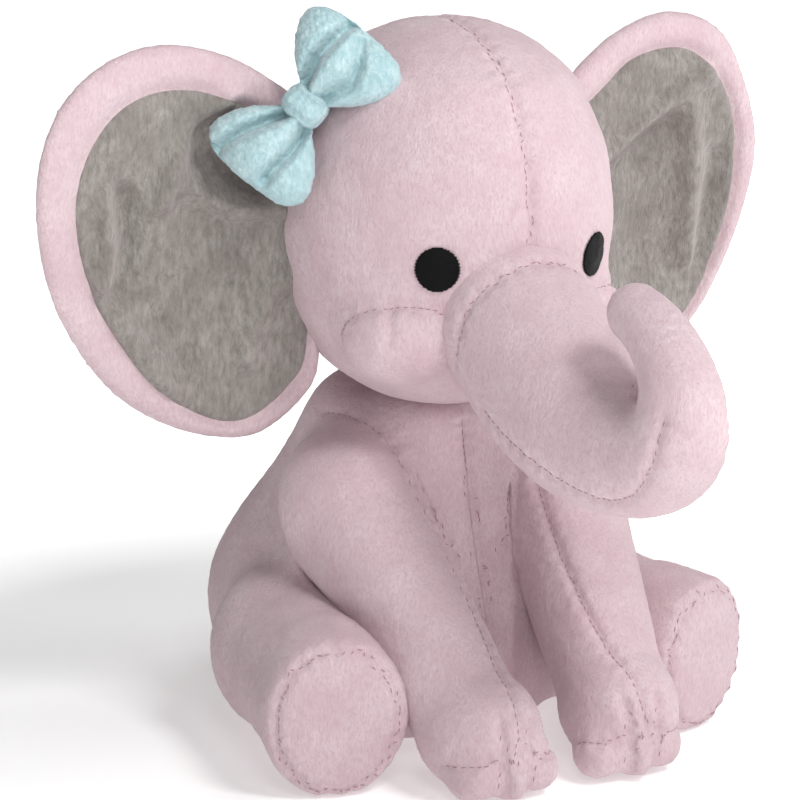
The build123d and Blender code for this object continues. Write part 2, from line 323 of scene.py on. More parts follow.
def plush(name, light, dark, nap_dark, stretch=(1, 1, 0.45), patch=16.0, streak=1.5, relief=0.55, sheen=0.35, nap=0.42):
    """Short-pile polyester plush: a matte pile, brushed one way and crushed in patches, that
    catches light at glancing angles. Tufts and patches are sized in millimetres."""
    material = bpy.data.materials.new(name)
    material.use_nodes = True
    tree = material.node_tree
    tree.nodes.clear()
    place = add(tree, "TexCoord").outputs["Object"]
    wander = add(tree, "TexNoise", {"Scale": 70.0, "Detail": 2.0}, {"Vector": place}).outputs["Color"]
    strayed = (4 * MM, 4 * MM, 4 * MM)
    bent = add(tree, "VectorMath", {"operation": "MULTIPLY_ADD", 1: strayed}, {0: wander, 2: place}).outputs[0]
    brushed = add(tree, "Mapping", {"Scale": stretch}, {"Vector": bent}).outputs[0]
    tufts = add(tree, "TexNoise", {"Scale": 1 / (streak * MM), "Detail": 4.0, "Roughness": 0.7}, {"Vector": brushed})
    fine = add(tree, "TexNoise", {"Scale": 3.0 / (streak * MM), "Detail": 2.0}, {"Vector": brushed})
    patches = add(tree, "TexNoise", {"Scale": 1 / (patch * MM), "Detail": 5.0, "Roughness": 0.62}, {"Vector": bent})
    tone = add(tree, "ValToRGB", links={"Fac": patches.outputs["Fac"]})
    tone.color_ramp.elements[0].position, tone.color_ramp.elements[1].position = 0.34, 0.66
    tone.color_ramp.elements[0].color, tone.color_ramp.elements[1].color = linear(dark), linear(light)
    depth = add(tree, "ValToRGB", links={"Fac": tufts.outputs["Fac"]})
    depth.color_ramp.elements[0].position, depth.color_ramp.elements[1].position = 0.28, nap + 0.16
    depth.color_ramp.elements[0].color, depth.color_ramp.elements[1].color = (0.0, 0.0, 0.0, 1), (1, 1, 1, 1)
    colour = add(tree, "Mix", {"data_type": "RGBA"})
    colour.inputs[6].default_value = linear(nap_dark)
    tree.links.new(depth.outputs["Color"], colour.inputs[0])
    tree.links.new(tone.outputs["Color"], colour.inputs[7])
    heights = add(tree, "Math", {"operation": "MULTIPLY_ADD", 1: 0.5},
                  {0: fine.outputs["Fac"], 2: tufts.outputs["Fac"]})
    bump = add(tree, "Bump", {"Strength": relief, "Distance": 0.8 * MM}, {"Height": heights.outputs[0]})
    shader = add(tree, "BsdfPrincipled", {
        "Roughness": 0.95, "Specular IOR Level": 0.1, "Sheen Weight": sheen, "Sheen Roughness": 0.5,
    }, {"Base Color": colour.outputs[2], "Normal": bump.outputs["Normal"]})
    shader.inputs["Sheen Tint"].default_value = linear("#fff4f6")
    add(tree, "OutputMaterial", links={"Surface": shader.outputs[0]})
    return material


def thread(name, code, roughness=0.6, sheen=0.2, twist=0.35):
    """Spun polyester sewing thread: two plies twisted about every half millimetre."""
    material = bpy.data.materials.new(name)
    material.use_nodes = True
    tree = material.node_tree
    tree.nodes.clear()
    place = add(tree, "TexCoord").outputs["Object"]
    plies = add(tree, "TexNoise", {"Scale": 1 / (twist * MM), "Detail": 2.0}, {"Vector": place})
    tone = add(tree, "ValToRGB", links={"Fac": plies.outputs["Fac"]})
    deep = tuple(channel * 0.6 for channel in linear(code)[:3]) + (1,)
    tone.color_ramp.elements[0].color, tone.color_ramp.elements[1].color = deep, linear(code)
    bump = add(tree, "Bump", {"Strength": 0.5, "Distance": 0.1 * MM}, {"Height": plies.outputs["Fac"]})
    shader = add(tree, "BsdfPrincipled", {"Roughness": roughness, "Specular IOR Level": 0.12, "Sheen Weight": sheen}, {
        "Base Color": tone.outputs["Color"], "Normal": bump.outputs["Normal"],
    })
    add(tree, "OutputMaterial", links={"Surface": shader.outputs[0]})
    return material


pink_plush = plush("pink short-pile plush", light="#dbc8cc", dark="#d1b9bf", nap_dark="#c8aab2",
                   stretch=(1, 1, 0.4), streak=0.85, relief=0.7)
thread_material = thread("pink sewing thread", "#bd939d")


def both_sides(points):
    """A line and its mirror image on the other side of the body."""
    return [route(points), route([(-x, y, z) for x, y, z in points])]


HIP = (50, -22, 32)
HIND_ANKLE = (70, -87, 27)
HIND_SOLE = (72, -89, 27)
HIND_SOLE_RADII = (24, 28.5)
FLOOR_GAP = 1.2
NAP_SIZE, NAP_HEIGHT = 2.6, 0.2


def on_side(place, side):
    return Vector((place[0] * side, place[1], place[2]))


def hind_foot(side):
    """A short oval block behind the flat sole."""
    sole, hip = on_side(HIND_SOLE, side), on_side(HIP, side)
    heading = (sole - hip).normalized()
    middle = sole - heading * 15
    bpy.ops.mesh.primitive_cylinder_add(
        vertices=48, radius=1, depth=30 * MM, location=mm(*middle),
        rotation=heading.to_track_quat("Z", "Y").to_euler(),
    )
    block = bpy.context.object
    for vertex in block.data.vertices:
        vertex.co.x *= HIND_SOLE_RADII[0] * MM
        vertex.co.y *= HIND_SOLE_RADII[1] * MM
    modifier(block, "BEVEL", width=4.5 * MM, segments=4, limit_method="ANGLE")
    apply_modifiers(block)
    return block


def rest_on_floor(obj):
    """Flattens the underside of a limb where it bears on the ground."""
    for vertex in obj.data.vertices:
        vertex.co.z = max(vertex.co.z, FLOOR_GAP * MM)


BODY_OUTLINE = ((-54, 0), (-50, 30), (-44, 46), (-26, 63), (-8, 67.5), (4, 66), (20, 59), (38, 48.5), (52, 42),
                (64, 38), (72, 34), (77, 26), (79, 0))
body_parts = [egg((0, 1, 42), BODY_OUTLINE, lean=11)]
for side in SIDES.values():
    hip, ankle = on_side(HIP, side), on_side(HIND_ANKLE, side)
    body_parts += [ball(hip, 32), shank(hip, ankle, 30, 24), hind_foot(side),
                   ball((36 * side, -27, 84), (23, 23, 26))]
body_parts.append(ball((0, -23, 107), (31, 24, 15)))
body = melted("body_skin", body_parts, voxel=3.5, smoothing=6)
rest_on_floor(body)


def front_leg_lumps(side):
    """One front leg's shoulder, tube, foot and three toes, before they are melted into a skin."""
    shoulder, foot = (40 * side, -37, 84), (27 * side, -101, 21)
    lumps = [ball(shoulder, (24, 24, 25)), shank(shoulder, foot, 23.5, 18)]
    lumps.append(ball((27 * side, -102, 21), (20.5, 22, 20.5), turn=(0, 0, math.radians(-14 * side))))
    for place in (-12.5, 0, 12.5):
        lumps.append(ball((27 * side - 3 * side + place, -116.5 + abs(place) / 3, 9.5), (7.6, 9.5, 9)))
    return lumps


def copied(obj):
    """A second object with its own mesh."""
    twin = obj.copy()
    twin.data = obj.data.copy()
    bpy.context.scene.collection.objects.link(twin)
    return twin


def eased(obj, neighbour, together, reach=16.0, lowest=58.0):
    """Moves the skin beside its neighbour onto the surface of the two together, above the lowest height,
    so that they meet in a soft hollow where they are sewn."""
    for vertex in obj.data.vertices:
        beside, normal, _, gap = neighbour.find_nearest(vertex.co)
        if gap > reach * MM or vertex.co.z < lowest * MM or (vertex.co - beside).dot(normal) < -1.5 * MM:
            continue
        share = 1 - (gap / (reach * MM)) ** 2
        share *= min(1, (vertex.co.z / MM - lowest) / 8)
        vertex.co = vertex.co.lerp(together.find_nearest(vertex.co)[0], share)
    obj.data.update()


sewn_together = melted("sewn_together", [copied(body)] + front_leg_lumps(1) + front_leg_lumps(-1), voxel=3.5,
                       smoothing=16)
common_surface, plain_body = surface(sewn_together), surface(body)
bpy.data.objects.remove(sewn_together)
for side in SIDES.values():
    plain_leg = melted("plain_leg", front_leg_lumps(side), voxel=3.5, smoothing=5)
    eased(body, surface(plain_leg), common_surface)
    bpy.data.objects.remove(plain_leg)

chest_seam = [(0, -40, 108), (0, -54, 84), (0, -61, 65), (0, -64, 48), (0, -60, 22), (0, -46, 4)]
back_seam = [(0, 12, 112), (0, 38, 95), (0, 60, 60), (0, 67, 34), (0, 60, 10), (0, 48, 2)]


def sole_seam(side):
    """The seam round a hind sole, 3 mm inside the edge of its flat face."""
    sole, hip = on_side(HIND_SOLE, side), on_side(HIP, side)
    turn = (sole - hip).to_track_quat("Z", "Y")
    wide, high = (radius - 3 for radius in HIND_SOLE_RADII)
    angles = [2 * math.pi * k / 24 for k in range(25)]
    return route([sole + turn @ Vector((wide * math.sin(angle), high * math.cos(angle), 0)) for angle in angles])


sole_seams = [sole_seam(side) for side in SIDES.values()]
leg_seams = both_sides([(33, -10, 109), (30, -20, 107), (27, -32, 102), (23, -43, 95), (18, -51, 86), (13, -56, 77),
                        (8, -60, 66)])
inflate(body, lambda p: abs(p.x) < 3 or p.z < 3, cap=2.5)
refine(body, 2)
draw_in(body, [route(chest_seam), route(back_seam)], deep=1.5, wide=2.2, pucker=0.35)
draw_in(body, sole_seams, deep=1.2, wide=1.9, pucker=0.3)
draw_in(body, leg_seams, deep=0.8, wide=1.8, pucker=0.2)
roughen(body, NAP_SIZE, NAP_HEIGHT)
smooth_faces(body)
body.data.materials.append(pink_plush)


def half_skin(name, side):
    """One side of the body, cut from the sewn whole at the middle seam."""
    half = only(copied(body))
    half.name = half.data.name = name
    bpy.ops.object.mode_set(mode="EDIT")
    bpy.ops.mesh.select_all(action="SELECT")
    bpy.ops.mesh.bisect(plane_co=(0, 0, 0), plane_no=(-side, 0, 0), use_fill=True, clear_outer=True)
    bpy.ops.object.mode_set(mode="OBJECT")
    return half


stitches("chest_stitching", body, [route(chest_seam)], "torso")
stitches("back_stitching", body, [route(back_seam)], "torso")
stitches("leg_top_stitching", body, leg_seams, "torso")
for (word, side), seam in zip(SIDES.items(), sole_seams):
    stitches(f"hind_sole_{word}_stitching", body, [seam], f"hind_leg_{word}")
for word, side in SIDES.items():
    half = half_skin(f"body_side_{word}", side)
    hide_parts(f"chest_panel_{word}", f"back_panel_{word}", f"hind_leg_{word}_upper_panel",
                f"hind_leg_{word}_under_panel", f"hind_leg_{word}_sole", f"hind_leg_{word}_stuffing",
                "body_base_panel", "body_stuffing")
    hip = pivot[f"hind_leg_{word}_splay"]
    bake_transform(half)
bpy.data.objects.remove(body)

# ---------------------------------------------------------------------------
# Neck: the stuffed opening of the body that the head is sewn to, a soft roll of the
# same plush between chest and chin, out of sight while the head is level.
# ---------------------------------------------------------------------------
neck = melted("neck_roll", [ball((0, -21, 111), (22, 18, 15))], voxel=3.5, smoothing=4)
refine(neck, 1)
roughen(neck, NAP_SIZE, NAP_HEIGHT)
smooth_faces(neck)
neck.data.materials.append(pink_plush)
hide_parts("neck_sleeve", "neck_stuffing")
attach(neck, "neck")

# ---------------------------------------------------------------------------
# Front legs: stuffed tubes of pink plush with a seam down the middle of the shin and
# a gusset sewn round the toes. Two stitches pulled through each foot part its toes.
# ---------------------------------------------------------------------------
for word, side in SIDES.items():
    leg = melted(f"front_leg_{word}", front_leg_lumps(side), voxel=3.0, smoothing=5)
    eased(leg, plain_body, common_surface)
    rest_on_floor(leg)
    inflate(leg, lambda p: p.z < 3, cap=1.0)
    refine(leg, 2)
    centre = 24 * side
    shin = route([(30 * side, -34, 106), (25 * side, -50, 93), (21 * side, -68, 75), (20 * side, -84, 60),
                  (21 * side, -101, 44), (23 * side, -115, 34), (centre, -124, 22), (centre, -128, 15)])
    toe_line = route([(centre - 20, -108, 14), (centre - 15, -117, 15), (centre - 7, -125, 16), (centre, -127, 15.5),
                      (centre + 7, -125, 16), (centre + 15, -117, 15), (centre + 20, -108, 14)])
    partings = [route([(centre + way * 5.5, -119, 28), (centre + way * 6, -125, 20), (centre + way * 6.3, -126, 10),
                       (centre + way * 6.3, -124, 3)]) for way in (-1, 1)]
    draw_in(leg, [shin], deep=1.2, wide=1.9, pucker=0.3)
    draw_in(leg, [toe_line], deep=0.9, wide=1.6, pucker=0.3)
    draw_in(leg, leg_seams, deep=0.8, wide=1.8, pucker=0.2)
    draw_in(leg, partings, deep=2.0, wide=2.2)
    roughen(leg, NAP_SIZE, NAP_HEIGHT, seed=side)
    smooth_faces(leg)
    leg.data.materials.append(pink_plush)
    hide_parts(f"front_leg_{word}_outer_panel", f"front_leg_{word}_inner_panel", f"front_leg_{word}_sole",
                f"front_leg_{word}_stuffing")
    top = pivot[f"front_leg_{word}_lift"]
    thread_marks = stitches(f"front_leg_{word}_stitching", leg, [shin, toe_line], None)
    parting_marks = stitches(f"front_leg_{word}_toe_threads", leg, partings, None, long=1.8, every=4.0)
    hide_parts(f"front_leg_{word}_toe_stitches")
    for piece in (leg, thread_marks, parting_marks):
        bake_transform(piece)

# ---------------------------------------------------------------------------
# Head: a stuffed egg of pink plush, blunt end up, with a seam down the forehead and a
# dart across each cheek that makes the muzzle full.
# ---------------------------------------------------------------------------
HEAD_OUTLINE = ((-66, 0), (-65, 14), (-61, 26), (-50, 42), (-30, 53.5), (-3, 58), (22, 55.5), (46, 44.5), (58, 30),
                (64, 15), (66, 0))
cheeks = [ball((29 * side, -60, 146), (24, 20, 18)) for side in SIDES.values()]
head = melted("head_skin", [egg((0, -32, 181), HEAD_OUTLINE)] + cheeks, smoothing=8)
forehead_seam = route([(0, -32, 247), (0, -52, 244), (0, -68, 235), (0, -79, 222), (0, -86, 205), (0, -90, 188),
                       (0, -90, 172)])
crown_seam = route([(0, -32, 247), (0, -8, 243), (0, 14, 225), (0, 25, 196), (0, 24, 160), (0, 8, 126)])
cheek_lines = both_sides([(25, -86, 156), (31, -78, 157), (39, -71, 157), (45, -63, 154), (48, -57, 151),
                          (49, -51, 146), (46, -50, 140), (42, -54, 136)])
cheek_tucks = both_sides([(40, -70, 156), (39.5, -68.5, 151), (39, -67, 146)])
inflate(head, lambda p: abs(p.x) < 2.5, cap=2.5)
refine(head, 2)
draw_in(head, [forehead_seam, crown_seam], deep=1.4, wide=2.2, pucker=0.3)
draw_in(head, cheek_lines, deep=1.2, wide=1.9, pucker=0.3)
draw_in(head, cheek_tucks, deep=1.0, wide=1.6)
roughen(head, NAP_SIZE, NAP_HEIGHT, seed=5)
smooth_faces(head)
head.data.materials.append(pink_plush)
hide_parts(*[f"{panel}_{word}" for panel in ("brow_panel", "cheek_panel", "head_back_panel") for word in SIDES],
            "head_stuffing")
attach(head, "head")
stitches("forehead_stitching", head, [forehead_seam], "head")
stitches("crown_stitching", head, [crown_seam], "head")
stitches("cheek_stitching", head, cheek_lines, "head")

# ---------------------------------------------------------------------------
# Eyes: round patches of black satin stitch, rows of thread laid side by side over the
# face, so the edge is finely stepped and the rows catch a soft light.
# ---------------------------------------------------------------------------
EYE_RADIUS, ROW, ROWS = 7.4, 0.42, 35
black_thread = thread("black embroidery floss", "#08080a", roughness=0.5, sheen=0.03, twist=0.25)
face = surface(head)
for word, side in SIDES.items():
    low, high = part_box(f"eye_{word}")
    centre = (low + high) / 2
    place, out, _, _ = face.find_nearest(centre)
    across = Vector((0, 0, 1)).cross(out).normalized()
    upward = out.cross(across).normalized()
    points, polygons = [], []
    for row in range(ROWS):
        level = (row - (ROWS - 1) / 2) * ROW
        reach = math.sqrt(max(EYE_RADIUS**2 - level**2, 0.6)) + 0.25 * math.sin(row * 2.4)
        rings = 17
        for k in range(rings):
            along = -reach + 2 * reach * k / (rings - 1)
            spot = place + (across * along + upward * level) * MM
            landed, normal, _, _ = face.find_nearest(spot)
            dome = 0.55 * (1 - (level**2 + along**2) / (EYE_RADIUS + 1) ** 2) + 0.3
            radius = 0.32 * (1.0 if 0 < k < rings - 1 else 0.35)
            side_way = normal.cross(across).normalized()
            for corner in range(6):
                angle = corner * math.pi / 3
                offset = side_way * math.cos(angle) * radius + normal * (math.sin(angle) * radius + dome)
                points.append(landed + offset * MM)
        first = row * rings * 6
        for k in range(rings - 1):
            for corner in range(6):
                a = first + k * 6 + corner
                b = first + k * 6 + (corner + 1) % 6
                polygons.append((a, b, b + 6, a + 6))
        polygons.append(tuple(first + corner for corner in reversed(range(6))))
        polygons.append(tuple(first + (rings - 1) * 6 + corner for corner in range(6)))
    mesh = bpy.data.meshes.new(f"eye_{word}_satin_stitch")
    mesh.from_pydata(points, [], polygons)
    eye = bpy.data.objects.new(mesh.name, mesh)
    bpy.context.scene.collection.objects.link(eye)
    smooth_faces(eye)
    mesh.materials.append(black_thread)
    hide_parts(f"eye_{word}")
    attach(eye, "head")

# ---------------------------------------------------------------------------
# Trunk: a tapering stuffed tube, wide at the face and curled up at the tip, from a top
# and an under panel sewn along both sides.
# ---------------------------------------------------------------------------
TRUNK = ((-68, 155, 25), (-84, 149, 27.5), (-98, 138.5, 27.5), (-113, 129.5, 27), (-129, 123, 25), (-145, 120.5, 22),
         (-160, 121, 19.3), (-172, 125.5, 17.2), (-178, 135, 15.0), (-177, 146, 13), (-169, 156.5, 11.2),
         (-159, 163, 10.2), (-151, 165, 9.8))
bends = bpy.data.curves.new("trunk_path", "CURVE")
bends.dimensions = "3D"
bends.bevel_depth = 1.0
bends.bevel_resolution = 8
bends.use_fill_caps = True
spline = bends.splines.new("NURBS")
spline.points.add(len(TRUNK) - 1)
for point, (y, z, radius) in zip(spline.points, TRUNK):
    point.co = (*mm(0, y, z), 1)
    point.radius = radius * MM
spline.use_endpoint_u = True
spline.order_u = 3
spline.resolution_u = 6
path = bpy.data.objects.new("trunk_path", bends)
bpy.context.scene.collection.objects.link(path)
only(path)
bpy.ops.object.convert(target="MESH")
tube = bpy.context.object
trunk = melted("trunk_skin", [tube, ball((0, -79, 151), 27.5), ball((0, -151.5, 165), 10)], voxel=3.0, smoothing=4)
under_seams = both_sides([(25, -100, 128), (24, -112, 122), (21, -128, 116), (17, -142, 112), (13, -156, 110),
                          (11, -168, 114), (10, -178, 124), (9, -183, 138)])
curl_seam = route([(0, -141, 166), (0, -143, 158), (0, -151, 150), (0, -158, 143), (0, -160, 139), (0, -152, 137)])
inflate(trunk, lambda p: p.y > -82, cap=1.5)
refine(trunk, 2)
draw_in(trunk, under_seams, deep=1.1, wide=1.9, pucker=0.3)
root_seam = route([(-26, -85, 141), (-26, -88, 150), (-25, -89, 157), (-20, -93, 165), (-10, -95, 171), (0, -96, 173),
                   (10, -95, 171), (20, -93, 165), (25, -89, 157), (26, -88, 150), (26, -85, 141)])
draw_in(trunk, [root_seam], deep=1.3, wide=2.0, pucker=0.3)
draw_in(trunk, [curl_seam], deep=2.0, wide=2.4, pucker=0.6, every=4.0)
roughen(trunk, NAP_SIZE, NAP_HEIGHT, seed=9)
smooth_faces(trunk)
trunk.data.materials.append(pink_plush)
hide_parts("trunk_top_panel", "trunk_under_panel", "trunk_stuffing", "trunk_tip_outer_panel",
            "trunk_tip_inner_panel", "trunk_tip_stuffing")
trunk_thread = stitches("trunk_stitching", trunk, under_seams + [curl_seam], None)
stitches("trunk_root_stitching", trunk, [root_seam], "trunk")
for piece in (trunk, trunk_thread):
    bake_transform(piece)

# ---------------------------------------------------------------------------
# Ears: flat padded leaves, pink plush behind and rolled over the edge as a rim, with a
# lining of grey plush set into the front. They cup forward and fold at the root.
# ---------------------------------------------------------------------------
grey_plush = plush("grey short-pile plush", light="#a5a09b", dark="#8e8883", nap_dark="#75706b", stretch=(1, 1, 0.35),
                   patch=11.0, streak=1.7, relief=0.8, sheen=0.4, nap=0.5)
EAR_OUTLINES = {
    "left": ((46, 44), (58, 55), (73, 64), (92, 69), (112, 63), (124, 47), (133, 21), (131, -5), (122, -32), (110, -50),
             (88, -65), (62, -68), (42, -50), (46, 0)),
    "right": ((50, 46), (76, 62), (103, 68), (126, 62), (141, 48), (147, 26), (143, -3), (131, -29), (112, -52),
              (88, -66), (64, -69), (47, -56), (42, -40), (46, 0)),
}
LINING_OUTLINES = {
    "left": ((48, 32), (64, 43), (78, 54), (99, 56), (115, 44), (123, 25), (124, -1), (118, -27), (107, -46), (86, -60),
             (62, -63), (46, -46), (48, 0)),
    "right": ((50, 32), (76, 48), (97, 53), (114, 50), (126, 39), (132, 23), (131, 6), (124, -15), (113, -33),
              (99, -50), (79, -62), (65, -62), (52, -51), (47, -38), (48, 0)),
}
# Each fold of the stuffed leaf is a line along it, with its height toward the front and its width.
EAR_FOLDS = {
    "left": (([(58, 14), (71, 21), (84, 31), (108, 46)], 5.0, 3.8), ([(62, 5), (78, 13), (95, 26)], -3.5, 6),
             ([(103, 32), (106, 12), (107, -20)], 4.5, 5.0), ([(117, 14), (114, -22)], -4.0, 4.5),
             ([(88, 20), (84, -12), (88, -50)], -2.0, 7), ([(60, -22), (78, -30), (96, -34)], 2.0, 5)),
    "right": (([(79, 50), (87, 41), (96, 28), (101, 16)], 5.5, 4.2), ([(84, 36), (72, 28), (56, 22)], -12.0, 9.0),
              ([(92, 21), (86, 18), (75, 12), (58, 11)], 4.5, 4.0), ([(123, 20), (120, 4), (121, -9)], 5.5, 3.4),
              ([(114, 18), (111, 2), (114, -14)], -5.0, 4.5), ([(108, -10), (90, -12), (72, -14)], -1.2, 1.6),
              ([(52, -8), (64, -21), (69, -40)], 4.0, 4.5), ([(115, -22), (96, -48)], 3.0, 4.0),
              ([(106, -18), (90, -42)], -2.2, 4.0), ([(91, 10), (89, -18), (87, -56)], -1.2, 2.4),
              ([(110, 44), (118, 34)], 1.5, 6)),
}
EAR_CENTRE = np.array((88.0, -2.0))
EAR_GRID = 72
LINING_RING = 0.80
EAR_TILT = math.radians(8)
EAR_FRAME = Matrix.Translation(mm(0, -19, 175)) @ Matrix((
    (1, 0, 0, 0), (0, -math.sin(EAR_TILT), -math.cos(EAR_TILT), 0), (0, math.cos(EAR_TILT), -math.sin(EAR_TILT), 0),
    (0, 0, 0, 1)))


def reach_at(corners):
    """How far a closed outline lies from the ear's centre, as (angles, distances) in order of angle."""
    line = np.array([tuple(p)[:2] for p in route([(x, y, 0) for x, y in corners + corners[:1]], step=2.0)]) - EAR_CENTRE
    angles = np.arctan2(line[:, 1], line[:, 0])
    order = np.argsort(angles)
    return angles[order], np.hypot(line[:, 0], line[:, 1])[order]


def fold_height(x, y, folds):
    """The sum of an ear's folds at points x, y."""
    total = np.zeros_like(x)
    for line, height, width in folds:
        nearest = np.full_like(x, 1e9)
        for (ax, ay), (bx, by) in zip(line, line[1:]):
            t = np.clip(((x - ax) * (bx - ax) + (y - ay) * (by - ay)) / ((bx - ax) ** 2 + (by - ay) ** 2), 0, 1)
            nearest = np.minimum(nearest, np.hypot(x - ax - t * (bx - ax), y - ay - t * (by - ay)))
        total += height * np.exp(-((nearest / width) ** 2))
    return total


def leaf(name, outline, lining, folds, side, profile, full):
    """A closed leaf on a square grid: profile gives the front and back height at each ring."""
    steps = np.linspace(-1, 1, EAR_GRID + 1)
    a, b = np.meshgrid(steps, steps, indexing="ij")
    ring = np.maximum(abs(a), abs(b))
    angle = np.arctan2(b, a)
    inner = np.interp(angle, *reach_at(lining), period=2 * math.pi)
    outer = np.interp(angle, *reach_at(outline), period=2 * math.pi)
    if full:
        reach = np.where(ring <= LINING_RING, inner * ring / LINING_RING,
                         inner + (outer - inner) * (ring - LINING_RING) / (1 - LINING_RING))
    else:
        reach = (inner + 0.6) * ring
    x, y = EAR_CENTRE[0] + np.cos(angle) * reach, EAR_CENTRE[1] + np.sin(angle) * reach
    cup = 9.0 * ((x - 92) / 50) ** 2 + 4.0 * (y / 66) ** 2 - 4.0
    edge_free = np.clip((1.0 - ring) / 0.12, 0, 1) if full else 1.0
    folded = fold_height(x, y, folds) * (0.35 + 0.65 * edge_free)
    front, back = profile(ring)
    shape = bmesh.new()
    rows = {}
    for top, height in ((1, cup + folded + front), (0, cup + 0.5 * folded + back)):
        for i in range(EAR_GRID + 1):
            for j in range(EAR_GRID + 1):
                if top == 0 and ring[i, j] > 1 - 1e-6:
                    rows[top, i, j] = rows[1, i, j]
                    continue
                place = Vector((x[i, j] * side, y[i, j], height[i, j])) * MM
                rows[top, i, j] = shape.verts.new(EAR_FRAME @ place)
        for i in range(EAR_GRID):
            for j in range(EAR_GRID):
                shape.faces.new((rows[top, i, j], rows[top, i + 1, j], rows[top, i + 1, j + 1], rows[top, i, j + 1]))
    bmesh.ops.recalc_face_normals(shape, faces=shape.faces)
    mesh = bpy.data.meshes.new(name)
    shape.to_mesh(mesh)
    shape.free()
    obj = bpy.data.objects.new(name, mesh)
    bpy.context.scene.collection.objects.link(obj)
    refine(obj, 1)
    return obj


def rolled(ring):
    """The stuffed leaf with its rolled rim, drawn in where the lining is sewn."""
    roll = np.clip((ring - LINING_RING) / (1 - LINING_RING), 0, 1)
    swell = np.where(ring < LINING_RING, 4.6, 5.4 * np.sqrt(1 - roll**2.4) + 0.2 * (1 - roll))
    seam = 1.7 * np.exp(-(((ring - LINING_RING) / 0.03) ** 2))
    return swell - seam, -5.0 * np.sqrt(np.clip(1 - ring**4, 0, 1))


def laid_in(ring):
    """The lining, a shallow pad with its edge turned under."""
    edge = np.clip((ring - 0.93) / 0.07, 0, 1)
    front = 5.5 - 2.9 * edge**2
    return front, np.where(ring > 1 - 1e-6, front, 2.4)


for word, side in SIDES.items():
    outline, lining = EAR_OUTLINES[word], LINING_OUTLINES[word]
    shell = leaf(f"ear_{word}_shell", outline, lining, EAR_FOLDS[word], side, rolled, full=True)
    inset = leaf(f"ear_{word}_lining_pad", outline, lining, EAR_FOLDS[word], side, laid_in, full=False)
    for piece, material, slot in ((shell, pink_plush, "plush_pink"), (inset, grey_plush, "plush_grey")):
        roughen(piece, 2.6, 0.22, seed=side * 3)
        smooth_faces(piece)
        piece.data.materials.append(material)
        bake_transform(piece)
    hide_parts(f"ear_{word}_back_panel", f"ear_{word}_rim", f"ear_{word}_stuffing")
    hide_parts(f"ear_{word}_lining")

# ---------------------------------------------------------------------------
# Bow: two loops of aqua plush gathered into pleats under a band of the same cloth, tacked
# to the head in front of the right ear.
# ---------------------------------------------------------------------------
aqua_plush = plush("aqua short-pile plush", light="#c2dadd", dark="#accace", nap_dark="#93b7bd", stretch=(1, 0.6, 0.6),
                   patch=9.0, streak=1.5, relief=0.7, sheen=0.35, nap=0.45)
BOW_MIDDLE = Vector((-57.5, -43, 220.5))
BOW_FACE = Vector((-0.6, -0.78, 0.18)).normalized()
BOW_ALONG = Vector((0.63, -0.18, 0.75)).normalized()
BOW_ACROSS = BOW_FACE.cross(BOW_ALONG).normalized()
# A loop's half width, and how far its cloth stands forward, by distance from the bow's middle.
LOOP_WIDTHS = ((3.0, 5.2), (6, 7.4), (11, 13.0), (17, 17.3), (23, 19.6), (28, 20.0), (30, 19.5))
LOOP_FULLNESS = ((3, 4.0), (8, 6.5), (16, 9.5), (23, 8.8), (26.5, 6.5), (28.6, 3.4), (29.5, 0))
# Pleats run from the knot outward: (along, across) points, depth and width.
PLEATS = {
    "upper": (([(5, 4.5), (14, 6.5), (22, 6.0), (32, 5.0)], 9.5, 2.1),
              ([(6, -3.5), (15, -7.5), (21, -5.5), (26, -1.5)], 6.5, 2.2),
              ([(8, 1.5), (20, 1.0), (27, 1.5)], -2.0, 4.0)),
    "lower": (([(5, -5.0), (14, -6.5), (25, -5.5)], 9.0, 2.0), ([(6, 3.0), (18, 9.5), (32, 15)], 8.5, 2.0),
              ([(8, -0.5), (20, 1.5), (28, 3)], -2.0, 4.5)),
}
LOOP_GRID = 64


def bow_point(along, across, height):
    return (BOW_MIDDLE + BOW_ALONG * along + BOW_ACROSS * across + BOW_FACE * height) * MM


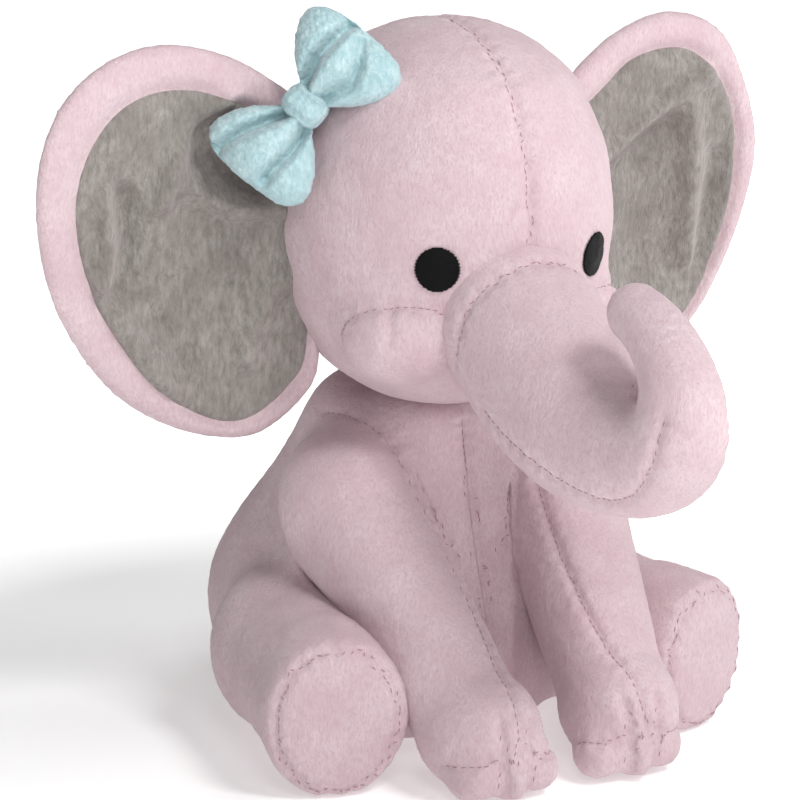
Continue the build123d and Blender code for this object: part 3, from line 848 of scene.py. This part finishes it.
for word, way in (("upper", 1), ("lower", -1)):
    shape = bmesh.new()
    rows = {}
    for i in range(LOOP_GRID + 1):
        for j in range(LOOP_GRID + 1):
            u, w = i / LOOP_GRID, 2 * j / LOOP_GRID - 1
            along = 3 + 26.5 * math.sin(u * math.pi / 2) if u < 1 else 29.5
            half = np.interp(along, *zip(*LOOP_WIDTHS))
            bow_out = 1.5 * (1 - w * w) - 5.0 * abs(w) ** 7
            across = w * half
            thick = np.interp(along, *zip(*LOOP_FULLNESS)) * (1 - abs(w) ** 3.5) ** 0.5
            pleat = float(fold_height(np.array([along]), np.array([across]), PLEATS[word])[0])
            fade = 1 - 0.35 * u
            for top in (1, 0):
                if top == 0 and (j in (0, LOOP_GRID) or i == LOOP_GRID):
                    rows[top, i, j] = rows[1, i, j]
                    continue
                height = thick - pleat * fade if top else -0.3 * thick
                rows[top, i, j] = shape.verts.new(bow_point(way * (along + bow_out * u), across, height + 1.0))
    for top in (1, 0):
        for i in range(LOOP_GRID):
            for j in range(LOOP_GRID):
                shape.faces.new((rows[top, i, j], rows[top, i + 1, j], rows[top, i + 1, j + 1], rows[top, i, j + 1]))
    mouth = [rows[1, 0, j] for j in range(LOOP_GRID + 1)] + [rows[0, 0, j] for j in range(LOOP_GRID - 1, 0, -1)]
    shape.faces.new(mouth)
    bmesh.ops.recalc_face_normals(shape, faces=shape.faces)
    mesh = bpy.data.meshes.new(f"bow_{word}_loop")
    shape.to_mesh(mesh)
    shape.free()
    loop = bpy.data.objects.new(mesh.name, mesh)
    bpy.context.scene.collection.objects.link(loop)
    modifier(loop, "SMOOTH", factor=0.5, iterations=2)
    apply_modifiers(loop)
    refine(loop, 1)
    roughen(loop, 1.5, 0.32, seed=way * 4)
    smooth_faces(loop)
    mesh = loop.data
    mesh.materials.append(aqua_plush)
    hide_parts(f"bow_loop_{word}")
    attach(loop, "bow")

bpy.ops.mesh.primitive_uv_sphere_add(segments=48, ring_count=32, radius=1, location=(0, 0, 0))
band = bpy.context.object
for vertex in band.data.vertices:
    x, y, z = vertex.co
    along = 5.6 * math.copysign(abs(x) ** 0.6, x)
    waist = 0.9 + 0.1 * x * x
    creases = 0.8 * math.cos(x * 8 + 0.6) * (1 - x * x)
    across = (8.2 * math.copysign(abs(y) ** 0.75, y)) * waist
    height = (7.8 * math.copysign(abs(z) ** 0.75, z)) * waist + (creases if z > 0 else 0)
    vertex.co = bow_point(along, across, height + 1.0)
band.name = band.data.name = "bow_band"
refine(band, 1)
roughen(band, 1.5, 0.32, seed=2)
smooth_faces(band)
band.data.materials.append(aqua_plush)
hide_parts("bow_knot")
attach(band, "bow")
tack = bpy.data.objects["bow_tack_thread"]
tack.data.materials.clear()
tack.data.materials.append(thread_material)

# ---------------------------------------------------------------------------
# Tail: a thin stuffed tube of pink plush with a tuft of matching yarn tied to its end, and
# a blank woven satin care label caught in the seam beside it.
# ---------------------------------------------------------------------------
tail_root, tail_end = (0, 72.5, 38), (0, 79.6, 13.5)
tail = melted("tail_skin", [ball(tail_root, 4.6), shank(tail_root, tail_end, 4.2, 3.2), ball(tail_end, 3.3)], voxel=1.0,
              smoothing=3)
refine(tail, 1)
roughen(tail, 2.0, 0.25)
smooth_faces(tail)
tail.data.materials.append(pink_plush)
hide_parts("tail_tube")
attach(tail, "tail")
yarn = thread("pink wool yarn", "#d0a6b0", roughness=0.9, sheen=0.5, twist=0.8)
points, polygons = [], []
for strand in range(34):
    turn = strand * 2.39996
    spread = 0.9 * math.sqrt(strand / 34)
    start = Vector((math.cos(turn) * 2.2 * spread, 79.0 + math.sin(turn) * 2.2 * spread, 14.5))
    finish = Vector((math.cos(turn) * 5.2 * spread, 81.6 + math.sin(turn) * 5.2 * spread, 3.6 + 0.8 * math.sin(strand)))
    rings = 8
    first = len(points)
    for k in range(rings):
        t = k / (rings - 1)
        centre = start.lerp(finish, t) + Vector((math.cos(turn), math.sin(turn), 0)) * 0.8 * math.sin(t * math.pi)
        radius = 0.62 * (1 - 0.5 * t * t) * (0.3 if k in (0, rings - 1) else 1)
        points += [(centre + Vector((math.cos(c * math.pi / 3), math.sin(c * math.pi / 3), 0)) * radius) * MM
                   for c in range(6)]
    for k in range(rings - 1):
        for c in range(6):
            low_a, low_b = first + k * 6 + c, first + k * 6 + (c + 1) % 6
            polygons.append((low_a, low_a + 6, low_b + 6, low_b))
    polygons.append(tuple(first + c for c in range(6)))
    polygons.append(tuple(first + (rings - 1) * 6 + c for c in reversed(range(6))))
mesh = bpy.data.meshes.new("tail_yarn_tuft")
mesh.from_pydata(points, [], polygons)
tuft = bpy.data.objects.new(mesh.name, mesh)
bpy.context.scene.collection.objects.link(tuft)
smooth_faces(tuft)
mesh.materials.append(yarn)
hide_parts("tail_tuft")
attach(tuft, "tail")

satin = bpy.data.materials.new("white woven satin ribbon")
satin.use_nodes = True
tree = satin.node_tree
tree.nodes.clear()
place = add(tree, "TexCoord").outputs["Object"]
ribs = add(tree, "TexWave", {"Scale": 1 / (0.8 * MM), "Distortion": 0.4, "bands_direction": "Z"}, {"Vector": place})
bump = add(tree, "Bump", {"Strength": 0.4, "Distance": 0.05 * MM}, {"Height": ribs.outputs["Fac"]})
shader = add(tree, "BsdfPrincipled", {"Base Color": linear("#ecebe6"), "Roughness": 0.38, "Sheen Weight": 0.3},
             {"Normal": bump.outputs["Normal"]})
add(tree, "OutputMaterial", links={"Surface": shader.outputs[0]})
label = bpy.data.objects["care_label"]
label.data.materials.clear()
label.data.materials.append(satin)

# ---------------------------------------------------------------------------
# Floor, light and camera: a pale seamless sweep with a painted glow, weak near the toy and full away from it,
# under a key light high in front, one overhead, a low one toward the trunk and a weak fill.
# ---------------------------------------------------------------------------
bpy.ops.mesh.primitive_plane_add(size=60, location=(0, 0, 0))
floor = bpy.context.object
floor.name = "floor"
sweep = bpy.data.materials.new("white sweep with painted glow")
sweep.use_nodes = True
sweep.node_tree.nodes.clear()
place = add(sweep.node_tree, "TexCoord").outputs["Object"]
spot = add(sweep.node_tree, "VectorMath", {"operation": "LENGTH"}, {0: place})
# Painted light: the sweep glows by emission. Strength is 0.36 within 0.2 m of the toy and rises to 1.0 beyond 0.4 m, so
# the far floor reads white and the shadows near the feet stay pale.
glow = add(sweep.node_tree, "MapRange", {"From Min": 0.2, "From Max": 0.4, "To Min": 0.36, "To Max": 1.0},
           {"Value": spot.outputs["Value"]})
glowing_paper = add(sweep.node_tree, "BsdfPrincipled", {
    "Base Color": linear("#f7f7f7"), "Roughness": 0.9, "Emission Color": linear("#ffffff"),
}, {"Emission Strength": glow.outputs[0]})
add(sweep.node_tree, "OutputMaterial", links={"Surface": glowing_paper.outputs[0]})
floor.data.materials.append(sweep)
floor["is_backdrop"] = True

world = bpy.data.worlds.new("soft room")
bpy.context.scene.world = world
world.use_nodes = True
world.node_tree.nodes["Background"].inputs["Color"].default_value = (1, 1, 1, 1)
world.node_tree.nodes["Background"].inputs["Strength"].default_value = 0.17


def softbox(name, place, size, power):
    """A square light panel that faces the toy."""
    light = bpy.data.lights.new(name, "AREA")
    light.size = size
    light.energy = power
    lamp = bpy.data.objects.new(name, light)
    lamp.location = place
    lamp.rotation_euler = (Vector((0, -0.03, 0.12)) - Vector(place)).to_track_quat("-Z", "Y").to_euler()
    bpy.context.scene.collection.objects.link(lamp)


softbox("key", (0.15, -1.0, 1.15), 0.35, 9.0)
softbox("top", (0.45, -0.35, 1.25), 0.6, 4.5)
softbox("side", (-0.32, -0.66, 0.5), 0.2, 1.05)
softbox("fill", (0.75, -0.7, 0.6), 0.4, 1.6)

camera = bpy.data.cameras.new("camera")
camera.lens = 146
camera.sensor_width = 36
camera.shift_x, camera.shift_y = -0.0688, -0.0312
eye_point = bpy.data.objects.new("camera", camera)
bpy.context.scene.collection.objects.link(eye_point)
azimuth, elevation, distance = math.radians(-30), math.radians(12), 1.1
back = Vector((math.sin(azimuth) * math.cos(elevation), -math.cos(azimuth) * math.cos(elevation), math.sin(elevation)))
eye_point.location = mm(0, -40, 125) + back * distance
eye_point.rotation_euler = back.to_track_quat("Z", "Y").to_euler()
bpy.context.scene.camera = eye_point
bpy.context.scene.view_settings.view_transform = "Standard"

low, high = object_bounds()
